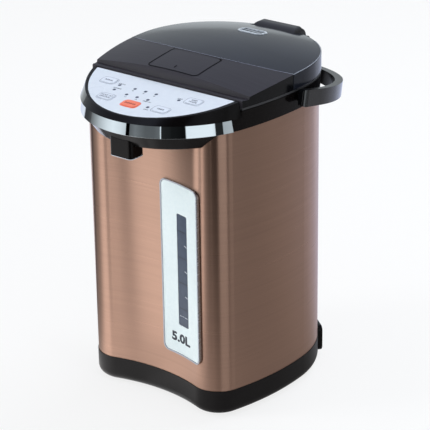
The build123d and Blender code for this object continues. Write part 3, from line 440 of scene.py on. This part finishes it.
half, low = marks["tickDrop"] / 2, marks["low"]
ticks = [stroke((left, z + half), (right, z - half), marks["line"]) for z in marks["ticks"]]
ticks += [stroke((x, low), (x + marks["dotLength"], low - marks["dotDrop"]), marks["dotWidth"])
          for x in marks["dots"]]
left, right = marks["lowSpan"]
ticks.append(stroke((left, low), (right, low - marks["lowDrop"]), marks["lowWidth"]))
flatPiece("levelTicks", ticks, gaugePoint(gaugeFace["lens"]), "root", inksAndPaintedLight["pale"])

# a grey line round the gauge plate: the frame's rim, with painted shade where its bevel meets the plate
rimShade = {"width": 0.0564, "height": 0.1878, "corner": 0.0066, "line": 0.0014, "middle": 0.1515,
        "lift": 0.00165, "step": 0.005}


def rimShadePath():  # round the gauge's plate and back to the start
    corners = [(x + rimShade["corner"] * c, y + rimShade["corner"] * s)
               for x, y, c, s in roundCorners(rimShade["width"], rimShade["height"], rimShade["corner"], 15)]
    path = []
    for point, after in zip(corners, corners[1:] + corners[:1]):
        path += stepped(point, after, max(1, round(math.dist(point, after) / rimShade["step"])))[:-1]
    return path + path[:1]


rimShadeLine = shifted(trail(rimShadePath(), rimShade["line"]), 0.0, rimShade["middle"])
flatPiece("gaugeRimShade", [rimShadeLine], gaugePoint(rimShade["lift"]), "root", inksAndPaintedLight["rimShade"])
print("gauge print: done")

keyPrint = {"line": 0.00045, "corner": 0.0038, "outset": 0.0014, "text": 0.0023, "bold": 0.012,
            "spacing": 0.0034,
            "orangeRim": (0.0206, 0.0136, 0.0042, 0.0016)}  # width, height, corner, line
keys = {  # words line by line, at the middle of the key
    "reboil_key": {"spot": (-0.056, -0.0995), "size": (0.017, 0.010), "words": ("REBOIL",)},
    "unlock_key": {"spot": (-0.0358, -0.128), "size": (0.017, 0.010), "words": ("HOLD TO", "UNLOCK")},
    "timer_key": {"spot": (0.033, -0.127), "size": (0.017, 0.010), "words": ("TIMER",)},
    "keep_warm_key": {"spot": (0.052, -0.0998), "size": (0.017, 0.010), "words": ("KEEP", "WARM")},
    "start_key": {"spot": (-0.0026, -0.1302), "size": (0.019, 0.011), "words": ("DISPENSE",)},
}
for key, row in keys.items():
    x, y = row["spot"]
    top = y + keyPrint["spacing"] * (len(row["words"]) - 1) / 2
    text = [shifted(words(line, keyPrint["text"], keyPrint["bold"]), x, top - keyPrint["spacing"] * i)
            for i, line in enumerate(row["words"])]
    orange = key == "start_key"
    flatPiece(key + "_words", text, panelPoint(panelFace["keyRise"]), key,
            inksAndPaintedLight["brown" if orange else "grey"])
    if orange:
        rim = shifted(frameLine(*keyPrint["orangeRim"]), x, y)
        flatPiece("start_key_rim", [rim], panelPoint(0.0), "root", finishes["key_orange"])
    else:
        width, height = (s + 2 * keyPrint["outset"] for s in row["size"])
        outline = shifted(frameLine(width, height, keyPrint["corner"], keyPrint["line"]), x, y)
        flatPiece(key + "_outline", [outline], panelPoint(0.0), "root", inksAndPaintedLight["outline"])

lampPrint = {
    "columns": (-0.0194, -0.0058, 0.0078), "rows": (-0.1030, -0.1160),
    "single": ((-0.0393, -0.1030), (-0.0380, -0.1128), (0.0364, -0.1033), (0.0177, -0.1282)),
    "ring": (0.0036, 0.0034, 0.0016, 0.0007),  # width, height, corner, line
    "text": 0.0016, "bold": 0.012,
    "words": (("98", -0.0190, -0.1070), ("85", -0.0052, -0.1070), ("60", 0.0084, -0.1070),
              ("2 h", -0.0176, -0.1201), ("4 h", -0.0040, -0.1201), ("TIMER ON", 0.0092, -0.1194),
              ("BOILING", -0.0385, -0.1001), ("WARMING", -0.0372, -0.1092),
              ("HOLD", 0.0358, -0.1002), ("OPEN", 0.0190, -0.1328)),
}
lampSpots = [(x, y) for y in lampPrint["rows"] for x in lampPrint["columns"]] + list(lampPrint["single"])
lampRings = [shifted(frameLine(*lampPrint["ring"]), *spot) for spot in lampSpots]
flatPiece("lampRings", lampRings, panelPoint(0.0), "root", inksAndPaintedLight["grey"])
height, bold = lampPrint["text"], lampPrint["bold"]
labels = [shifted(words(text, height, bold), x, y) for text, x, y in lampPrint["words"]]
flatPiece("lampWords", labels, panelPoint(0.0), "root", inksAndPaintedLight["grey"])
print("panel print: done")


def treeOf(name):
    points = [nodes[name].matrix_world @ v.co for v in nodes[name].data.vertices]
    return BVHTree.FromPolygons(points, [tuple(f.vertices) for f in nodes[name].data.polygons])


def dropOn(tree, x, y):  # where a drop from above lands, or None
    return tree.ray_cast(Vector((x, y, 1.0)), Vector((0, 0, -1)))[0]


def onTop(names, lift, reach):  # just above the highest of some nodes, and of what lies within reach
    trees = [treeOf(name) for name in names]
    around = ((0, 0), (reach, 0), (-reach, 0), (0, reach), (0, -reach))

    def place(x, y, z):
        hits = [dropOn(tree, x + dx, y + dy) for tree in trees for dx, dy in around]
        return x, y, max(hit.z for hit in hits if hit) + lift + z
    return place


lidLines = {
    "flap": {"half": 0.0312, "front": -0.0592, "back": -0.0185, "corner": 0.005, "width": 0.0011,
             "sideSteps": 14, "frontSteps": 16, "lift": 0.0001, "reach": 0.0009},
    "mark": {"from": (-0.0006, -0.0538), "to": (-0.0009, -0.0488), "width": 0.0009,
             "steps": 5, "lift": 0.0001, "reach": 0.0009},
    "chord": {"front": -0.0157, "radius": 0.3, "half": 0.099, "width": 0.0006,
              "steps": 60, "lift": 0.0001, "reach": 0.0012},
    "rim": {"degrees": range(-8, 59, 2), "middleY": 0.011, "inside": 0.0006, "width": 0.0009,  # from +X
            "between": (0.05, 0.13), "closeness": 0.00005, "lift": 0.00012, "reach": 0.0004},
}


def flapPath(row):  # up the left side from the back, along the front and back down the right
    bend = [math.radians(a) for a in range(0, 91, 15)]
    arc = [(row["half"] - row["corner"] * (1 - math.sin(a)), row["front"] + row["corner"] * (1 - math.cos(a)))
           for a in bend]
    right = arc[:-1] + stepped(arc[-1], (row["half"], row["back"]), row["sideSteps"])
    left = [(-x, y) for x, y in reversed(right)]
    return left + stepped(left[-1], right[0], row["frontSteps"])[1:-1] + right


def chordPath(row):  # an arc across the lid, farthest forward in the middle
    across = [row["half"] * (2 * i / row["steps"] - 1) for i in range(row["steps"] + 1)]
    return [(x, row["front"] + row["radius"] - math.sqrt(row["radius"] ** 2 - x ** 2)) for x in across]


def rimPath(row, tree):  # just inside the farthest points that a drop from above still meets
    path = []
    for angle in row["degrees"]:
        c, s = math.cos(math.radians(angle)), math.sin(math.radians(angle))
        near, far = row["between"]
        while far - near > row["closeness"]:
            radius = (near + far) / 2
            hit = dropOn(tree, radius * c, row["middleY"] + radius * s)
            near, far = (radius, far) if hit else (near, radius)
        radius = near - row["inside"]
        path.append((radius * c, row["middleY"] + radius * s))
    return path


def lidLine(name, row, path, under, node, ink):
    place = onTop(under, row["lift"], row["reach"])
    flatPiece(name, [trail(path, row["width"])], place, bodyOf[node], ink)


lidTops = ("lid_front_cover", "latch_lever", "lid_dome")
flap, mark, chord, rim = (lidLines[part] for part in ("flap", "mark", "chord", "rim"))
lidLine("flapSeam", flap, flapPath(flap), lidTops, "lid_front_cover", inksAndPaintedLight["seam"])
markPath = stepped(mark["from"], mark["to"], mark["steps"])
lidLine("flapMark", mark, markPath, ("latch_lever",), "latch_lever", inksAndPaintedLight["seam"])
lidLine("chordGlint", chord, chordPath(chord), lidTops, "lid_dome", inksAndPaintedLight["glint"])
lidLine("rimGlint", rim, rimPath(rim, treeOf("lid_dome")), ("lid_dome",), "lid_dome", inksAndPaintedLight["shine"])

vent = {  # slot and rib: width, length, corner, and half the rib's thickness
    "y": 0.072637, "pitch": 0.0052, "count": 5,
    "slot": (0.0036, 0.0112, 0.0014), "rib": (0.0012, 0.0118, 0.0005, 0.0005),
    "lift": 0.00015, "reach": 0.0009, "span": 0.003}  # the slope is measured over this far each way
grille = onTop(("steam_vent_grille",), vent["lift"], vent["reach"])
ventFront, ventBack = (grille(vent["pitch"] / 2, vent["y"] + side * vent["span"], 0.0)[2] for side in (-1, 1))


def ventPoint(x, y, z):
    return x, vent["y"] + y, (ventFront + ventBack) / 2 + y * (ventBack - ventFront) / (2 * vent["span"]) + z


middle = (vent["count"] - 1) / 2
# painted shade: dark plates over the vent's slots stand in for the shade inside the openings
slotShade = [shifted(roundedPlate(*vent["slot"]), vent["pitch"] * (i - middle), 0.0)
         for i in range(vent["count"])]
flatPiece("ventSlots", slotShade, ventPoint, bodyOf["steam_vent_grille"], inksAndPaintedLight["slotShade"])
ribs = [shifted(roundedPlate(*vent["rib"]), vent["pitch"] * (i - middle - 0.5), 0.0)
        for i in range(vent["count"] + 1)]
flatPiece("ventRibs", ribs, ventPoint, bodyOf["steam_vent_grille"], finishes["vent_silver"])

spoutEdgeHighlight = {"size": (0.0282, 0.0202, 0.0041, 0.0011), "middle": (0.0, -0.128763), "z": 0.27975,
            "half": 0.00035}


def spoutPoint(x, y, z):
    return x, y, spoutEdgeHighlight["z"] + z


# painted highlight: a light ring along the spout cover's lower edge
lip = shifted(frameLine(*spoutEdgeHighlight["size"], spoutEdgeHighlight["half"]), *spoutEdgeHighlight["middle"])
flatPiece("spoutEdgeHighlight", [lip], spoutPoint, bodyOf["spout_cover"], inksAndPaintedLight["lip"])
print("lid and spout lines: done")


# camera, floor, surroundings and lamps
def lookDown(location, view, up):
    back = -Vector(view).normalized()
    right = Vector(up).cross(back).normalized()
    turn = Matrix((right, back.cross(right), back)).transposed().to_4x4()
    return Matrix.Translation(Vector(location)) @ turn


shot = {"place": (1.15937, -1.43471, 0.94824), "view": (-0.57783349, 0.71818007, -0.38771877),
        "up": (-0.23088065, 0.31181118, 0.92166584), "lens": 160.976, "sensor": 36.0, "reach": 50.0}
camera = bpy.data.objects.new("Camera", bpy.data.cameras.new("Camera"))
camera.data.sensor_width, camera.data.lens, camera.data.clip_end = shot["sensor"], shot["lens"], shot["reach"]
camera.matrix_world = lookDown(shot["place"], shot["view"], shot["up"])
bpy.context.collection.objects.link(camera)
bpy.context.scene.camera = camera


def seenWhite(look):  # 1 where the camera, a reflection or clear plastic looks straight at the backdrop
    ways = ("Is Camera Ray", "Is Glossy Ray", "Is Transmission Ray")
    camera, glossy, clear = (look.add("ShaderNodeLightPath", out=way) for way in ways)
    return camera + glossy + clear


def stagePiece(name, points, faces, material):
    mesh = bpy.data.meshes.new(name)
    mesh.from_pydata(points, [], faces)
    mesh.materials.append(material)
    piece = bpy.data.objects.new(name, mesh)
    bpy.context.collection.objects.link(piece)
    return piece


studio = {"floor": (0.86, 0.86, 0.86), "floorHalf": 6, "white": 0.8,
          "air": (0.86, 0.92, 1.0), "airStrength": 0.55}
floorLook = Look("Floor")
plain = floorLook.add("ShaderNodeBsdfDiffuse", None, {"Color": studio["floor"]})
glow = floorLook.add("ShaderNodeEmission", None, {"Color": (1, 1, 1)})
whiteness = seenWhite(floorLook) * studio["white"]
floorLook.surface(floorLook.add("ShaderNodeMixShader", None, {0: whiteness, 1: plain, 2: glow}))
half = studio["floorHalf"]
stagePiece("Floor", [(-half, -half, 0), (half, -half, 0), (half, half, 0), (-half, half, 0)], [(0, 1, 2, 3)],
           floorLook.owner)

world = bpy.data.worlds.new("Studio")
bpy.context.scene.world = world
air = Look("Studio", world)
dim = air.add("ShaderNodeBackground", None, {"Color": studio["air"], "Strength": studio["airStrength"]})
bright = air.add("ShaderNodeBackground", None, {"Color": (1, 1, 1)})
air.surface(air.add("ShaderNodeMixShader", None, {0: seenWhite(air), 1: dim, 2: bright}))

# what the pot mirrors: rings round it with tones by direction, in degrees from +X
# cool: how much bluer it gets towards one side; stops: (direction, tone), or None for its neighbour's
surround = {
    "floorNear": {"cool": 0.4, "radius": 0.1, "z": 0.0006, "tint": (1.02, 1.0, 1.0), "stops": (
        (-175, 0.25), (-168, 0.42), (-160, 0.45), (-150, 0.55), (-144, 0.75), (-135, 1.05),
        (-122, 1.15), (-115, 1.0), (-111, 0.80), (-106, 0.74), (-104, 0.98), (-98, 0.95),
        (-90, 0.64), (-75, 0.56), (-60, 0.52), (-45, 0.36), (-28, 0.30), (0, 0.26), (23, 0.27),
        (42, 0.32), (54, 0.36), (60, 0.42), (72, 0.50), (103, 0.62), (118, 0.62), (165, 0.8),
        (174, 0.9), (175, 0.2))},
    "floorFar": {"cool": 0.4, "radius": 0.66, "z": 0.0006, "tint": (1.02, 1.0, 1.0), "stops": (
        (-175, 0.10), (-168, 0.25), (-160, 0.25), (-150, 0.27), (-144, 0.42), (-135, 0.85),
        (-128, 1.1), (-120, 1.1), (-114, 0.95), (-111, 0.38), (-106, 0.34), (-104.5, 1.25),
        (-98, 1.35), (-95, 0.8), (-91, 0.36), (-84, 0.14), (-75, 0.02), (-70, 0.0), (-50, 0.0),
        (-44, 0.22), (-28, 0.28), (0, 0.25), (20, 0.26), (34, 0.31), (46, 0.36), (53, 0.40),
        (59, 0.46), (68, 0.55), (85, 0.62), (100, 0.63), (118, 0.64), (165, 0.8), (174, 0.9),
        (175, 0.06))},
    "foot": {"cool": 0.0, "radius": 2.3, "z": 0.0006, "tint": (0.93, 1.0, 1.04), "stops": (
        (-168, 0.02), (-166, 0.16), (-160, 0.33), (-150, 0.55), (-137, 0.82), (-128, 0.95),
        (-118, 0.85), (-110, 0.70), (-109.7, 0.0), (-105.3, 0.0), (-105, 0.13), (-98, 0.20),
        (-86, 0.12), (-76, 0.12), (-69.3, 0.16), (-68.9, 0.90), (-68.1, 0.90), (-67.7, 0.02),
        (-55, 0.01), (-42.5, 0.004), (-41.5, 0.95), (-15, 0.98), (-12, 0.85), (-11.5, 0.02),
        (-3.5, 0.02), (-3, 0.45), (11, 0.55), (13, 0.2), (60, 0.2), (78, 0.35), (84, 1.0),
        (110, 1.0), (118, 0.9), (172, 0.95), (173, 0.02))},
    "eyeLevel": {"cool": 0.0, "radius": 2.3, "z": 0.62, "tint": (0.93, 1.0, 1.04), "stops": None},
    "sky": {"cool": 0.0, "radius": 2.1, "z": 2.4, "tint": (0.88, 0.98, 1.24), "stops": (
        (-170, 0.3), (-150, 0.6), (-132, 0.9), (-104, 0.9), (-94, 0.4), (-84, 0.10), (-70, 0.03),
        (-45, 0.02), (-38, 0.35), (-24, 0.5), (0, 0.32), (20, 0.26), (50, 0.3), (80, 0.45),
        (110, 0.55), (150, 0.55), (170, 0.4))},
    "ceiling": {"cool": 0.0, "radius": 0.2, "z": 2.8, "tint": (0.88, 0.98, 1.34), "stops": (
        (-150, 0.95), (-110, 0.95), (-85, 0.4), (-65, 0.1), (30, 0.12), (70, 0.4), (110, 0.6),
        (160, 0.6))},
}
coolest = 115  # direction of the bluest tones
cards = {"mirroredFloorNear": ("floorNear", "floorFar"), "mirroredFloorFar": ("floorFar", "foot"),
         "mirroredBand": ("foot", "eyeLevel"), "mirroredSky": ("eyeLevel", "sky"),
         "mirroredCeiling": ("sky", "ceiling")}


def toneAt(stops, angle):  # straight between the stops, all the way round
    before, after = stops[-1], stops[0]
    closed = ((before[0] - 360, before[1]),) + stops + ((after[0] + 360, after[1]),)
    for (a, low), (b, high) in zip(closed, closed[1:]):
        if a <= angle <= b:
            return low + (high - low) * (angle - a) / (b - a)


def colourAt(edge, stops, angle):
    cool = edge["cool"] * max(0.0, math.cos(math.radians(angle - coolest))) ** 2
    red, green, blue = (c * toneAt(stops, angle) for c in edge["tint"])
    return red * (1 - 0.3 * cool), green, blue * (1 + cool), 1.0


def ringCard(name, low, high):  # a band between two rings that shows only in reflections
    edges = (surround[low], surround[high])
    tones = [edge["stops"] or other["stops"] for edge, other in zip(edges, reversed(edges))]
    angles = sorted(set(range(-180, 181, 3)) | {a for stops in tones for a, _ in stops})
    turns = [(math.cos(math.radians(a)), math.sin(math.radians(a))) for a in angles]
    points = [(edge["radius"] * c, edge["radius"] * s, edge["z"]) for edge in edges for c, s in turns]
    look = Look(name)
    colour = look.add("ShaderNodeAttribute", {"attribute_name": "tone"})
    look.surface(look.add("ShaderNodeEmission", None, {"Color": colour}))
    n = len(angles)
    card = stagePiece(name, points, [(i, i + 1, n + i + 1, n + i) for i in range(n - 1)], look.owner)
    shade = card.data.color_attributes.new("tone", "FLOAT_COLOR", "POINT")
    colours = [colourAt(edge, stops, a) for edge, stops in zip(edges, tones) for a in angles]
    for spot, colour in zip(shade.data, colours):
        spot.color = colour
    card.visible_camera = card.visible_diffuse = card.visible_shadow = card.visible_transmission = False


for name, (low, high) in cards.items():
    ringCard(name, low, high)

lamps = {
    "KeyLeft": {"place": (-1.4, -1.5, 1.0), "aim": (0, 0, 0.2), "size": (0.7, 1.6), "power": 22,
                "tint": (1, 1, 1)},
    "FillRight": {"place": (1.9, -0.3, 0.9), "aim": (0, 0, 0.2), "size": (0.5, 1.6), "power": 9,
                  "tint": (1, 1, 1)},
    "TopBack": {"place": (0.2, 1.2, 1.7), "aim": (0, 0, 0.3), "size": (1.4, 0.8), "power": 20,
                "tint": (0.86, 0.92, 1.0)},
}
for name, row in lamps.items():
    lamp = bpy.data.lights.new(name, "AREA")
    lamp.shape = "RECTANGLE"
    lamp.size, lamp.size_y = row["size"]
    lamp.energy, lamp.color = row["power"], row["tint"]
    holder = bpy.data.objects.new(name, lamp)
    holder.matrix_world = lookDown(row["place"], Vector(row["aim"]) - Vector(row["place"]), (0, 0.01, 1))
    holder.visible_glossy = False
    bpy.context.collection.objects.link(holder)
bpy.context.scene.view_settings.view_transform = "Standard"
print("stage: done")
